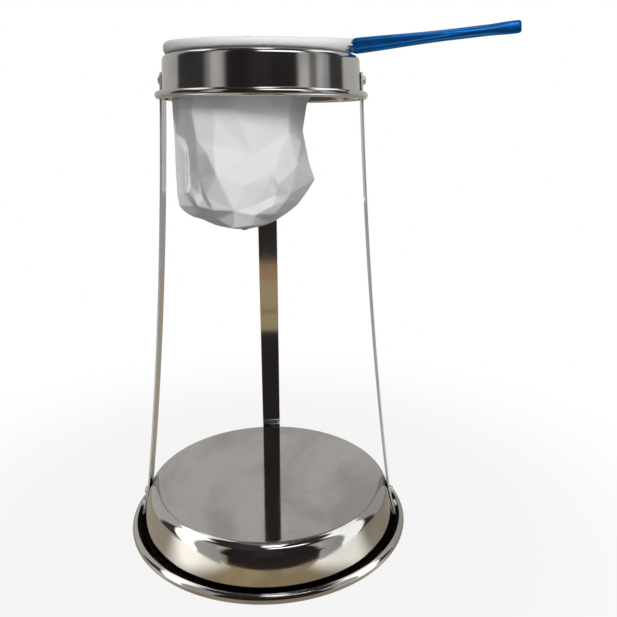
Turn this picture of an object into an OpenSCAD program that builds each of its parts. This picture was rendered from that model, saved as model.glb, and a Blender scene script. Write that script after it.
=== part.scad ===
// Coffee filter stand: a pressed dish turned upside down carries three strip
// legs, and the legs carry a ring in which a cloth filter hangs by its hoop.
// Millimetres. Z is up, the front (where the pot goes in) is -Y, and the
// origin is the centre of the dish's rim on the table.

/* [Base dish] */
// Diameter over the rolled rim
base_d = 220; // [212:1:240]
// Height of the flat top on which the pot stands
dish_h = 35; // [32:0.5:45]
// Radius of the shoulder between the flat top and the wall
shoulder_r = 9.2; // [7:0.2:11]
// Angle by which the wall flares out towards the rim
wall_flare = 14; // [10:0.5:16]
// Inside radius where the wall turns out into the rim
dish_toe_r = 2; // [1.5:0.1:2.6]
// Diameter of the rolled rim
rim_roll_d = 7.6; // [6:0.1:9]
// Distance from the foot of the wall to the middle of the rolled rim
rim_channel = 3; // [2.8:0.1:4]
// Angle over which the rim is rolled, from the table up and over
rim_roll_turn = 185; // [150:5:200]
// Thickness of the pressed sheet
sheet_t = 0.8; // [0.6:0.05:1]

/* [Top ring] */
// Height of the ring's top, on which the hoop rests
stand_h = 355; // [300:1:400]
// Height of the ring from bead to top
ring_h = 28; // [24:0.5:36]
// Angle by which the band tapers towards its top
band_taper = 3; // [1:0.5:5]
// Diameter over the ring's bead
ring_d = 146; // [144:0.5:156]
// Diameter of the opening in the top of the ring
mouth_d = 123.6; // [112:0.2:124]
// Radius of the shoulder at the top of the band
ring_shoulder_r = 3.6; // [2.5:0.1:4.2]
// Inside radius where the band turns out into the bead
ring_toe_r = 1.2; // [1:0.05:1.4]
// Diameter of the bead
bead_d = 5.2; // [4.8:0.1:6]
// Distance from the foot of the band to the middle of the bead
bead_channel = 2.2; // [2:0.05:2.5]
// Angle over which the bead is rolled
bead_turn = 180; // [150:5:190]

/* [Legs] */
// Width of the strip
leg_w = 16; // [10:0.5:20]
// Thickness of the strip
leg_t = 1.4; // [1:0.1:1.5]
// Radius of the strip's corners
leg_corner_r = 2; // [0.5:0.5:4]
// Height of the bend in the left and right legs
side_bend_z = 27; // [25:0.5:31]
// Height of the bend in the rear leg
rear_bend_z = 34; // [25:0.5:38]
// Angle by which the rear leg stands round from the middle of the back
rear_leg_turn = 2; // [0:0.5:5]
// Length of strip that lies against the band
leg_lap = 18; // [16:0.5:20]
// Gap between a strip and the sheet that it lies on
leg_gap = 0.1; // [0.05:0.05:0.2]
// Gap between the end of a strip and the curve at the foot of the dish wall
foot_gap = 0.2; // [0.1:0.1:0.6]
// Clearance round the strip in the bead's slot
slot_clear = 0.5; // [0.3:0.1:0.8]

/* [Screws and nuts] */
// Diameter of the screws
screw_d = 3; // [2.5:0.5:4]
// Diameter of the pan head
head_d = 5.8; // [5.2:0.1:7]
// Height of the pan head
head_h = 2.5; // [1.8:0.1:2.8]
// Width of the screwdriver slot
driver_slot_w = 0.8; // [0.6:0.1:1]
// Clearance on the diameter of a screw hole
hole_clear = 0.3; // [0.2:0.1:0.5]
// Width of a nut across its flats
nut_flats = 5.5; // [5:0.1:7]
// Thickness of a nut
nut_h = 2.4; // [2:0.1:3.2]
// Length of thread that shows past the nut
thread_proud = 0.8; // [0.5:0.1:1.5]
// Height of the ring's screws above the bead
ring_screw_rise = 13; // [10:0.5:14]
// Height of the lower screw in each foot
foot_screw_z = 9; // [8:0.5:11]
// Distance between the two screws in each foot
foot_screw_pitch = 12.5; // [10:0.5:14]

/* [Cloth filter] */
// Diameter of the hoop's wire
wire_d = 3.2; // [2.5:0.1:3.6]
// Diameter of the hem that the wire runs in
hem_d = 5.8; // [5.4:0.1:6.8]
// Distance from the mouth's edge out to the middle of the hoop
hoop_seat = 1.2; // [1:0.1:1.4]
// Air between the hem and the ring that it rests on
hem_air = 0.3; // [0.2:0.05:0.4]
// Thickness of the cloth
cloth_t = 1.2; // [0.8:0.1:1.4]
// Gap between the bag's top edge and the inside of the hem
bag_gap = 0.3; // [0.2:0.05:0.5]
// Height of the bag's top edge above the middle of the hoop
bag_tuck = 0.5; // [0:0.1:1.5]
// Depth of the bag below the hoop
bag_depth = 122; // [90:1:150]

/* [Handle] */
// Length of the handle
handle_l = 106; // [80:1:130]
// Diameter of the handle's tube
tube_d = 7; // [6.6:0.1:8]
// Height of the flattened end that grips the wires
crimp_h = 10; // [9.6:0.1:11]
// Width of the flattened end that grips the wires
crimp_w = 5; // [4.8:0.1:6]
// Length over which the crimped end opens into the tube
crimp_l = 34; // [26:1:40]
// Height of the flattened tip
tip_h = 8; // [7.4:0.1:9]
// Width of the flattened tip
tip_w = 3.4; // [2.5:0.1:5]
// Length of the flattened tip
tip_l = 20; // [14:1:26]
// Angle by which the handle rises
handle_rise = 5.5; // [0:0.5:10]
// Angle by which the handle is turned to the front
handle_turn = 8; // [0:1:20]
// Height of the two wires' middle above the hoop, at the handle
wire_lift = 3; // [2:0.1:3.4]
// Distance between the two wires in the handle
wire_pitch = 4; // [3.8:0.1:4.4]
// Length of each wire in the handle
wire_tail_l = 26; // [16:1:26]

/* [Hidden] */
LEFT = 180;
RIGHT = 0;
REAR = 90 + rear_leg_turn;
LOWER = 0;
UPPER = 1;
ARC_STEP = 9;
ROUND = 96;
SOFT_SIDES = 32;
HANDLE_SIDES = 24;
STRIP_STEPS = 12;
CUT = 1;
SEAT = 0.05;
FIT = 0.1;
KNUCKLE = 1.04;

steel = [0.78, 0.77, 0.75];
strip_steel = [0.66, 0.65, 0.63];
zinc = [0.72, 0.73, 0.74];
cotton = [0.93, 0.93, 0.91];
anodised_blue = [0.04, 0.28, 0.62];

// Dish
base_r = base_d / 2;
rim_roll_r = rim_roll_d / 2;
rim_mid_r = base_r - rim_roll_r;
wall_foot_r = rim_mid_r - rim_channel;
function dish_wall(z) = wall_foot_r - z * tan(wall_flare);

// Ring
ring_bottom = stand_h - ring_h;
bead_r = bead_d / 2;
bead_mid_r = ring_d / 2 - bead_r;
band_foot_r = bead_mid_r - bead_channel;
mouth_r = mouth_d / 2;

// Legs
foot_end_z = sheet_t + dish_toe_r * (1 - sin(wall_flare)) + foot_gap;
function bend_z(leg) = leg == REAR ? rear_bend_z : side_bend_z;
// A strip leaves the band along its taper and bows out to its bend on the dish
// wall, so its reach grows with the square of the drop below the band
function strip_bow(leg) =
    let (drop = ring_bottom - bend_z(leg))
    (dish_wall(bend_z(leg)) - band_foot_r - drop * tan(band_taper)) / (drop * drop);
function strip_r(leg, z) =
    let (drop = ring_bottom - z)
    band_foot_r + drop * tan(band_taper) + strip_bow(leg) * pow(max(0, drop), 2);
function strip_lean(leg, z) = atan(tan(band_taper) + 2 * strip_bow(leg) * max(0, ring_bottom - z));
foot_screw_heights = [foot_screw_z, foot_screw_z + foot_screw_pitch];
ring_screw_z = ring_bottom + ring_screw_rise;

// Filter
hoop_r = mouth_r + hoop_seat;
hem_r = hem_d / 2;
wire_r = wire_d / 2;
hoop_z = stand_h + hem_air + hem_r;
wire_bend_r = wire_d * 0.8;
wire_turn = asin(wire_bend_r / (hoop_r + wire_bend_r));
tail_x = (hoop_r + wire_bend_r) * cos(wire_turn);
// Heights of the rear and the front wire above the hoop, at the handle
wire_heights = [wire_lift + wire_pitch / 2, wire_lift - wire_pitch / 2];
hem_gap_turn = wire_turn + 4;
bag_r = hoop_r - hem_r - bag_gap;
bag_top_z = hoop_z + bag_tuck;
// Rows of the bag from the hem down: depth, and the reach to the left, right
// and front and rear, each as a share of the depth or of the mouth
bag_rows = [
    [0.00, 1.00, 1.00, 1.00],
    [0.11, 1.02, 0.87, 0.98],
    [0.20, 1.025, 0.66, 0.93],
    [0.29, 1.025, 0.55, 0.89],
    [0.45, 1.025, 0.49, 0.86],
    [0.58, 1.025, 0.54, 0.86],
    [0.70, 1.02, 0.60, 0.85]
];
bag_low_left = 0.24;
bag_dome_steps = 5;

// Handle: how far its mouth is drawn in between the two wires, how square its
// pressed ends are, the lip at its mouth and the length of its rounded tip
handle_waist = 0.22;
handle_square = 0.3;
handle_lip = 0.6;
handle_round_l = 2.2;

// Points of an arc about a centre, from one angle to another
function arc(centre, r, from, to) =
    let (n = max(2, ceil(abs(to - from) / ARC_STEP)))
    [for (i = [0 : n]) let (a = from + (to - from) * i / n) centre + r * [cos(a), sin(a)]];

function backwards(list) = [for (i = [len(list) - 1 : -1 : 0]) list[i]];

// Outline of a sheet that is pressed into a wall with a shoulder above and a
// rolled edge below. The wall's outside passes through foot_r at the height
// base_z, and leans in by lean as it rises.
function pressed_outline(inner_r, top_z, base_z, shoulder, foot_r, lean, toe, roll_mid, roll_r, turn) =
    let (
        t = sheet_t,
        shoulder_mid_z = top_z - shoulder,
        shoulder_mid_r = foot_r - (shoulder_mid_z - base_z) * tan(lean) - shoulder / cos(lean),
        toe_mid_z = base_z + t + toe,
        toe_mid_r = foot_r - (toe_mid_z - base_z) * tan(lean) + toe / cos(lean),
        shoulder_mid = [shoulder_mid_r, shoulder_mid_z],
        toe_mid = [toe_mid_r, toe_mid_z],
        roll_centre = [roll_mid, base_z + roll_r],
        outside = concat(
            [[inner_r, top_z]],
            arc(shoulder_mid, shoulder, 90, lean),
            arc(toe_mid, toe, 180 + lean, 270),
            arc(roll_centre, roll_r - t, 270, 270 + turn)
        ),
        inside = concat(
            [[inner_r, top_z - t]],
            arc(shoulder_mid, shoulder - t, 90, lean),
            arc(toe_mid, toe + t, 180 + lean, 270),
            arc(roll_centre, roll_r, 270, 270 + turn)
        )
    )
    concat(outside, backwards(inside));

// Puts its children on a leg's side of the stand
module at_leg(leg) {
    rotate([0, 0, leg]) children();
}

// Puts its children on the dish wall's outside, with Z pointing outwards
module on_wall(leg, z) {
    at_leg(leg) translate([dish_wall(z), 0, z]) rotate([0, 90 - wall_flare, 0]) children();
}

// Puts its children on the band's outside, with Z pointing outwards
module on_band(leg) {
    at_leg(leg)
        translate([strip_r(leg, ring_screw_z), 0, ring_screw_z])
            rotate([0, 90 - band_taper, 0])
                children();
}

// A straight hole for one screw, through strip and sheet
module screw_hole() {
    reach = leg_t + sheet_t + 2 * CUT;
    translate([0, 0, -sheet_t - CUT]) cylinder(h = reach, d = screw_d + hole_clear, $fn = 48);
}

module base_dish() {
    color(steel)
    difference() {
        rotate_extrude($fn = ROUND)
            polygon(pressed_outline(0, dish_h, 0, shoulder_r, wall_foot_r, wall_flare,
                dish_toe_r, rim_mid_r, rim_roll_r, rim_roll_turn));
        for (leg = [LEFT, RIGHT, REAR], z = foot_screw_heights) on_wall(leg, z) screw_hole();
    }
}

module top_ring() {
    slot_w = leg_w + 2 * slot_clear;
    slot_t = leg_t + leg_gap + slot_clear;
    slot_h = sheet_t + ring_toe_r + 2 * slot_clear;
    color(steel)
    difference() {
        rotate_extrude($fn = ROUND)
            polygon(pressed_outline(mouth_r, stand_h, ring_bottom, ring_shoulder_r, band_foot_r,
                band_taper, ring_toe_r, bead_mid_r, bead_r, bead_turn));
        for (leg = [LEFT, RIGHT, REAR]) {
            on_band(leg) screw_hole();
            at_leg(leg)
                translate([band_foot_r, 0, ring_bottom])
                    rotate([0, -band_taper, 0])
                        translate([leg_gap / 2, -slot_w / 2, -CUT])
                            cube([slot_t, slot_w, slot_h + CUT]);
        }
    }
}

// One face of a strip leg, seen from its edge and set off from the sheet that
// it lies on: foot on the dish wall, bend, and the long run up to the band
function strip_side(leg, off) =
    let (
        bend = bend_z(leg),
        run = [for (i = [0 : STRIP_STEPS]) bend + (ring_bottom - bend) * i / STRIP_STEPS],
        heights = concat(run, [ring_bottom + leg_lap]),
        foot = [dish_wall(foot_end_z), foot_end_z]
    )
    concat(
        [foot + off * [cos(wall_flare), sin(wall_flare)]],
        [for (z = heights) let (a = strip_lean(leg, z)) [strip_r(leg, z), z] + off * [cos(a), sin(a)]]
    );

// Front view of a strip: a long rectangle with rounded corners
function strip_face(bottom, top) =
    let (x = leg_w / 2 - leg_corner_r, low = bottom + leg_corner_r, high = top - leg_corner_r)
    concat(
        arc([x, low], leg_corner_r, -90, 0),
        arc([x, high], leg_corner_r, 0, 90),
        arc([-x, high], leg_corner_r, 90, 180),
        arc([-x, low], leg_corner_r, 180, 270)
    );

module strip_leg(leg) {
    inner = strip_side(leg, leg_gap);
    outer = strip_side(leg, leg_gap + leg_t);
    top_z = inner[len(inner) - 1].y;
    color(strip_steel)
    difference() {
        at_leg(leg) intersection() {
            rotate([90, 0, 0])
                linear_extrude(height = leg_w + 2 * CUT, center = true)
                    polygon(concat(outer, backwards(inner)));
            translate([band_foot_r - leg_w, 0, 0])
                rotate([90, 0, 90])
                    linear_extrude(height = base_r)
                        polygon(strip_face(outer[0].y, top_z));
        }
        on_band(leg) screw_hole();
        for (z = foot_screw_heights) on_wall(leg, z) screw_hole();
    }
}

// A slotted pan-head screw, seated on the plane at leg_t above Z = 0
module pan_screw() {
    seat = leg_gap + leg_t + SEAT;
    reach = sheet_t + FIT + nut_h + thread_proud;
    edge_r = head_h * 0.45;
    color(zinc)
    difference() {
        union() {
            translate([0, 0, seat]) rotate_extrude($fn = 48)
                polygon(concat(
                    [[0, 0], [head_d / 2, 0]],
                    arc([head_d / 2 - edge_r, head_h - edge_r], edge_r, 0, 90),
                    [[0, head_h]]
                ));
            translate([0, 0, -reach]) cylinder(h = reach + seat + head_h / 2, d = screw_d, $fn = 48);
        }
        translate([-head_d / 2 - CUT, -driver_slot_w / 2, seat + head_h * 0.55])
            cube([head_d + 2 * CUT, driver_slot_w, head_h]);
    }
}

// A hexagon nut with chamfered corners, behind the sheet
module hex_nut() {
    flats_r = nut_flats / 2;
    corner_r = flats_r / cos(30);
    color(zinc)
    translate([0, 0, -sheet_t - FIT - nut_h])
    difference() {
        intersection() {
            cylinder(h = nut_h, r = corner_r, $fn = 6);
            cylinder(h = nut_h, r1 = flats_r, r2 = flats_r + nut_h, $fn = 48);
        }
        translate([0, 0, -CUT]) cylinder(h = nut_h + 2 * CUT, d = screw_d + 2 * SEAT, $fn = 48);
    }
}

// Half of the hoop, on the rear (side 1) or the front (side -1): a half ring
// that climbs from the far side to its own height at the handle
module half_hoop(side, tube_r, start) {
    climb = asin(wire_heights[side > 0 ? 0 : 1] / (2 * hoop_r));
    translate([-hoop_r, 0, 0])
        rotate([0, -climb, 0])
            translate([hoop_r, 0, 0])
                rotate([0, 0, side > 0 ? start : 180])
                    rotate_extrude(angle = 180 - start, $fn = ROUND)
                        translate([hoop_r, 0]) circle(r = tube_r, $fn = 32);
}

// The straight tail that one end of the wire has in the handle
module wire_tail(side, tube_r, lead) {
    translate([tail_x, 0, wire_heights[side > 0 ? 0 : 1]])
        rotate([0, 90 - handle_rise, 0])
            translate([0, 0, -lead])
                cylinder(h = lead + wire_tail_l, r = tube_r, $fn = 32);
}

// The bend that turns one end of the wire out of the hoop, and its tail. The
// wire is a little fuller where it is bent.
module wire_end(side, tube_r) {
    height = wire_heights[side > 0 ? 0 : 1];
    first = side > 0 ? 180 + wire_turn : 90;
    bend_start = hoop_r * [cos(wire_turn), side * sin(wire_turn)];
    translate([tail_x, side * wire_bend_r, height])
        rotate([0, 0, first])
            rotate_extrude(angle = 90 - wire_turn, $fn = ROUND)
                translate([wire_bend_r, 0]) circle(r = tube_r, $fn = 32);
    translate([bend_start.x, bend_start.y, height]) sphere(r = tube_r * KNUCKLE, $fn = 32);
    translate([tail_x, 0, height]) sphere(r = tube_r * KNUCKLE, $fn = 32);
    wire_tail(side, tube_r, 0);
}

// Puts its children in the hoop's frame, with X along the handle
module at_hoop() {
    translate([0, 0, hoop_z]) rotate([0, 0, -handle_turn]) children();
}

module wire_path(tube_r) {
    for (side = [1, -1]) {
        half_hoop(side, tube_r, wire_turn);
        wire_end(side, tube_r);
    }
    translate([-hoop_r, 0, 0]) sphere(r = tube_r * KNUCKLE, $fn = 32);
}

module filter_hoop() {
    color(zinc) at_hoop() wire_path(wire_r);
}

module filter_hem() {
    color(cotton) at_hoop() difference() {
        union() {
            for (side = [1, -1]) half_hoop(side, hem_r, hem_gap_turn);
            translate([-hoop_r, 0, 0]) sphere(r = hem_r * KNUCKLE, $fn = 32);
        }
        wire_path(wire_r + FIT);
    }
}

// Joins rings of points, each with the same number of points, into one skin
// that is closed by a point at either end
module skin(rings, first, last) {
    n = len(rings[0]);
    rows = len(rings);
    points = concat([first], [for (ring = rings) each ring], [last]);
    end = len(points) - 1;
    function at(row, i) = 1 + row * n + i % n;
    faces = concat(
        [for (i = [0 : n - 1]) [0, at(0, i), at(0, i + 1)]],
        [for (row = [0 : rows - 2], i = [0 : n - 1]) [at(row, i), at(row + 1, i), at(row + 1, i + 1)]],
        [for (row = [0 : rows - 2], i = [0 : n - 1]) [at(row, i), at(row + 1, i + 1), at(row, i + 1)]],
        [for (i = [0 : n - 1]) [end, at(rows - 1, i + 1), at(rows - 1, i)]]
    );
    polyhedron(points = points, faces = faces, convexity = 6);
}

// One level ring of the bag, shrunk by inset, from a row of shares
function bag_ring(row, inset) =
    let (
        left = row[1] * bag_r - inset,
        right = row[2] * bag_r - inset,
        side = row[3] * bag_r - inset,
        mid = (right - left) / 2,
        half = (right + left) / 2,
        z = bag_top_z - row[0] * bag_depth
    )
    [for (i = [0 : SOFT_SIDES - 1])
        let (a = -360 * i / SOFT_SIDES)
        [mid + half * cos(a), side * sin(a), z]];

// Rows of the rounded bottom, which draws in to its lowest point
function dome_rows() =
    let (
        low = bag_rows[len(bag_rows) - 1],
        start = low[0]
    )
    [for (i = [1 : bag_dome_steps])
        let (
            a = 84 * i / bag_dome_steps,
            k = pow(cos(a), 0.8),
            depth = start + (1 - start) * sin(a)
        )
        [depth, bag_low_left + (low[1] - bag_low_left) * k, -bag_low_left + (low[2] + bag_low_left) * k, low[3] * k]];

module filter_bag() {
    rows = concat(bag_rows, dome_rows());
    shallow = [for (row = rows) [row[0] * (1 - cloth_t / bag_depth), row[1], row[2], row[3]]];
    outer = [for (row = rows) bag_ring(row, 0)];
    inner = [for (row = shallow) bag_ring(row, cloth_t)];
    low_x = -bag_low_left * bag_r;
    low_z = bag_top_z - bag_depth;
    color(cotton)
        skin(concat(backwards(outer), inner), [low_x, 0, low_z], [low_x, 0, low_z + cloth_t]);
}

// One section of the handle: width and height, drawn in at the waist, and
// squarer where the tube is pressed flat
function handle_ring(x, w, h, waist, square) =
    [for (i = [0 : HANDLE_SIDES - 1])
        let (
            a = 360 * i / HANDLE_SIDES,
            c = cos(a),
            s = sin(a),
            k = 1 - waist * pow(abs(c), 4)
        )
        [x, w / 2 * sign(c) * pow(abs(c), square) * k, h / 2 * sign(s) * pow(abs(s), square)]];

// Eases from 0 to 1 along a stretch
function ease(x, from, to) = let (t = max(0, min(1, (x - from) / (to - from)))) t * t * (3 - 2 * t);

module filter_handle() {
    tip_start = handle_l - tip_l;
    round_start = handle_l - handle_round_l;
    stations = concat(
        [0, handle_lip],
        [for (share = [0.2, 0.4, 0.55, 0.7, 0.85, 1]) crimp_l * share],
        [(crimp_l + tip_start) / 2],
        [for (share = [0, 0.25, 0.45, 0.7]) tip_start + tip_l * share],
        [for (share = [0, 0.55, 0.85, 1]) round_start + handle_round_l * share]
    );
    rings = [for (x = stations)
        let (
            open = ease(x, 0, crimp_l),
            flat = ease(x, tip_start, handle_l - tip_l * 0.3),
            end = x > round_start ? sqrt(1 - pow((x - round_start) / handle_round_l * 0.9, 2)) : 1,
            mouth = x == 0 ? 0.94 : 1,
            w = crimp_w + (tube_d - crimp_w) * open + (tip_w - tube_d) * flat,
            h = crimp_h + (tube_d - crimp_h) * open + (tip_h - tube_d) * flat,
            waist = handle_waist * (1 - ease(x, crimp_l * 0.5, crimp_l)),
            square = 1 - handle_square * max(1 - open, flat)
        )
        handle_ring(x, w * mouth * (0.4 + 0.6 * end), h * mouth * (0.7 + 0.3 * end), waist, square)];
    color(anodised_blue) difference() {
        at_hoop()
            translate([tail_x, 0, wire_lift])
                rotate([0, -handle_rise, 0])
                    translate([SEAT, 0, 0])
                        skin(rings, [0, 0, 0], [handle_l, 0, 0]);
        at_hoop() for (side = [1, -1]) wire_tail(side, wire_r + FIT, CUT);
    }
}

module ring_screw(leg) { on_band(leg) pan_screw(); }
module ring_nut(leg) { on_band(leg) hex_nut(); }
module foot_screw(leg, level) { on_wall(leg, foot_screw_heights[level]) pan_screw(); }
module foot_nut(leg, level) { on_wall(leg, foot_screw_heights[level]) hex_nut(); }

base_dish();
top_ring();
strip_leg(LEFT);  // left_leg
strip_leg(RIGHT);  // right_leg
strip_leg(REAR);  // rear_leg
ring_screw(LEFT);  // left_ring_screw
ring_screw(RIGHT);  // right_ring_screw
ring_screw(REAR);  // rear_ring_screw
ring_nut(LEFT);  // left_ring_nut
ring_nut(RIGHT);  // right_ring_nut
ring_nut(REAR);  // rear_ring_nut
foot_screw(LEFT, UPPER);  // left_upper_foot_screw
foot_screw(RIGHT, UPPER);  // right_upper_foot_screw
foot_screw(REAR, UPPER);  // rear_upper_foot_screw
foot_nut(LEFT, UPPER);  // left_upper_foot_nut
foot_nut(RIGHT, UPPER);  // right_upper_foot_nut
foot_nut(REAR, UPPER);  // rear_upper_foot_nut
foot_screw(LEFT, LOWER);  // left_lower_foot_screw
foot_screw(RIGHT, LOWER);  // right_lower_foot_screw
foot_screw(REAR, LOWER);  // rear_lower_foot_screw
foot_nut(LEFT, LOWER);  // left_lower_foot_nut
foot_nut(RIGHT, LOWER);  // right_lower_foot_nut
foot_nut(REAR, LOWER);  // rear_lower_foot_nut
filter_hoop();
filter_hem();
filter_bag();
filter_handle();
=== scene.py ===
import math
from random import Random

import bmesh
import bpy
from bpy.props import FloatProperty, FloatVectorProperty, IntProperty
from mathutils import Matrix, Vector, geometry, noise
from mathutils.bvhtree import BVHTree


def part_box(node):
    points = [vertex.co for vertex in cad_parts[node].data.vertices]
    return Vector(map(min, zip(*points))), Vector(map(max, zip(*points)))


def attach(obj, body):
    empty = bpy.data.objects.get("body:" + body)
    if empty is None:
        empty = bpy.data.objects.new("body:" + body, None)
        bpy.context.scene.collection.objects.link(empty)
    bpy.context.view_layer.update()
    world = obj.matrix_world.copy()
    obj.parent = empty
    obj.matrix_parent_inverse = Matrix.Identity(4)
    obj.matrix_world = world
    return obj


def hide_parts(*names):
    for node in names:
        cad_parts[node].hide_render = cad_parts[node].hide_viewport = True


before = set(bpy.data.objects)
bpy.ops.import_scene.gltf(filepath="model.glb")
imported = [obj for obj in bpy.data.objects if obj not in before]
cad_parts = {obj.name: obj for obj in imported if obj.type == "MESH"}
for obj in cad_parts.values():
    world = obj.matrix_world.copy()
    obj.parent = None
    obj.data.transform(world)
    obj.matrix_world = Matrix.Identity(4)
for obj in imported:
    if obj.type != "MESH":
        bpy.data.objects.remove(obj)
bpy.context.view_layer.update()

bl_info = {
    "name": "Coffee filter stand",
    "version": (1, 0, 0),
    "blender": (4, 5, 0),
    "location": "3D View > Sidebar > Filter stand",
    "description": "Builds the visible surfaces of a coffee filter stand round its solid frame",
    "category": "Add Mesh",
}

MM = 0.001

# The three legs: the angle at which each stands round the ring
LEGS = {"left": 180.0, "right": 0.0, "rear": 92.0}
SCREWS = ("ring_screw", "upper_foot_screw", "lower_foot_screw")
NUTS = ("ring_nut", "upper_foot_nut", "lower_foot_nut")


def top_of(node):
    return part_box(node)[1].z


def bottom_of(node):
    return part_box(node)[0].z


def reach_of(node):
    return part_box(node)[1].x


# Sizes and colours that a user would change

class PressedSizes(bpy.types.PropertyGroup):
    """Sizes that the dish and the ring are pressed to."""
    sheet: FloatProperty(
        name="Sheet", description="Thickness of the pressed sheet",
        default=0.8 * MM, unit="LENGTH")
    dish_shoulder: FloatProperty(
        name="Dish shoulder", description="Radius between the dish's flat top and its wall",
        default=9.2 * MM, unit="LENGTH")
    dish_flare: FloatProperty(
        name="Dish flare", description="Angle by which the dish wall flares out",
        default=math.radians(14), subtype="ANGLE")
    dish_toe: FloatProperty(
        name="Dish toe", description="Inside radius where the wall turns out into the rim",
        default=2 * MM, unit="LENGTH")
    rim_roll: FloatProperty(
        name="Rim roll", description="Radius of the rolled rim",
        default=3.8 * MM, unit="LENGTH")
    rim_channel: FloatProperty(
        name="Rim channel", description="Distance from the foot of the wall to the rim's middle",
        default=3 * MM, unit="LENGTH")
    rim_turn: FloatProperty(
        name="Rim turn", description="Angle over which the rim is rolled",
        default=math.radians(185), subtype="ANGLE")
    mouth: FloatProperty(
        name="Mouth", description="Radius of the opening in the top of the ring",
        default=61.8 * MM, unit="LENGTH")
    ring_shoulder: FloatProperty(
        name="Ring shoulder", description="Radius at the top of the band",
        default=3.6 * MM, unit="LENGTH")
    ring_taper: FloatProperty(
        name="Ring taper", description="Angle by which the band tapers towards its top",
        default=math.radians(3), subtype="ANGLE")
    ring_toe: FloatProperty(
        name="Ring toe", description="Inside radius where the band turns out into the bead",
        default=1.2 * MM, unit="LENGTH")
    bead: FloatProperty(
        name="Bead", description="Radius of the bead", default=2.6 * MM, unit="LENGTH")
    bead_channel: FloatProperty(
        name="Bead channel", description="Distance from the foot of the band to the bead's middle",
        default=2.2 * MM, unit="LENGTH")
    bead_turn: FloatProperty(
        name="Bead turn", description="Angle over which the bead is rolled",
        default=math.radians(180), subtype="ANGLE")
    slot_angle: FloatProperty(
        name="Slot angle", description="Half of the angle that a leg's slot takes of the bead",
        default=math.radians(7), subtype="ANGLE")


class StripSizes(bpy.types.PropertyGroup):
    """Sizes of the three strip legs."""
    width: FloatProperty(
        name="Width", description="Width of the strip", default=16 * MM, unit="LENGTH")
    thickness: FloatProperty(
        name="Thickness", description="Thickness of the strip", default=1.4 * MM, unit="LENGTH")
    corner: FloatProperty(
        name="Corner", description="Radius of the strip's corners", default=2 * MM, unit="LENGTH")
    edge: FloatProperty(
        name="Edge", description="Softening of the cut edges", default=0.22 * MM, unit="LENGTH")
    gap: FloatProperty(
        name="Gap", description="Gap between a strip and the sheet behind it",
        default=0.1 * MM, unit="LENGTH")
    side_bend: FloatProperty(
        name="Side bend", description="Height of the bend in the left and right legs",
        default=27 * MM, unit="LENGTH")
    rear_bend: FloatProperty(
        name="Rear bend", description="Height of the bend in the rear leg",
        default=34 * MM, unit="LENGTH")


class FilterSizes(bpy.types.PropertyGroup):
    """Sizes of the cloth filter and its handle."""
    hoop: FloatProperty(
        name="Hoop", description="Radius to the middle of the hoop's wire",
        default=63 * MM, unit="LENGTH")
    hem: FloatProperty(
        name="Hem", description="Width of the hem across the wire", default=5.6 * MM, unit="LENGTH")
    cloth: FloatProperty(
        name="Cloth", description="Thickness of the cloth", default=0.9 * MM, unit="LENGTH")
    bag_seed: IntProperty(
        name="Crumple", description="Which crumple the bag has", default=11)
    handle_turn: FloatProperty(
        name="Handle turn", description="Angle by which the handle is turned to the front",
        default=math.radians(8), subtype="ANGLE")
    handle_rise: FloatProperty(
        name="Handle rise", description="Angle by which the handle rises",
        default=math.radians(5.5), subtype="ANGLE")
    handle: FloatProperty(
        name="Handle", description="Length of the handle", default=106 * MM, unit="LENGTH")
    tuck: FloatProperty(
        name="Tuck", description="Length of the handle that runs in under the hem",
        default=6.0 * MM, unit="LENGTH")
    tube: FloatProperty(
        name="Tube", description="Diameter of the handle's tube", default=7 * MM, unit="LENGTH")


class FinishColours(bpy.types.PropertyGroup):
    """Colours of the finishes."""
    steel: FloatVectorProperty(
        name="Polished steel", description="Colour of the polished sheet",
        default=(0.62, 0.605, 0.585), subtype="COLOR")
    strip: FloatVectorProperty(
        name="Strip steel", description="Colour of the strip legs",
        default=(0.60, 0.60, 0.59), subtype="COLOR")
    zinc: FloatVectorProperty(
        name="Zinc", description="Colour of the screws and nuts",
        default=(0.66, 0.66, 0.64), subtype="COLOR")
    cotton: FloatVectorProperty(
        name="Cotton", description="Colour of the cotton", default=(0.83, 0.84, 0.84),
        subtype="COLOR")
    blue: FloatVectorProperty(
        name="Blue", description="Colour of the anodised handle", default=(0.008, 0.13, 0.42),
        subtype="COLOR")


class StudioSizes(bpy.types.PropertyGroup):
    """The camera and the studio."""
    lens: FloatProperty(
        name="Lens", description="Focal length on a 36 mm sensor", default=37.93)
    camera_place: FloatVectorProperty(
        name="Camera", description="Where the camera stands", default=(0.0321, -0.474, 0.3103),
        subtype="TRANSLATION", unit="LENGTH")
    camera_pitch: FloatProperty(
        name="Pitch", description="Angle by which the camera looks down", default=0.275,
        subtype="ANGLE")
    daylight: FloatProperty(
        name="Daylight", description="Strength of the even light from all round", default=0.18)


# Shader maths

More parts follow.
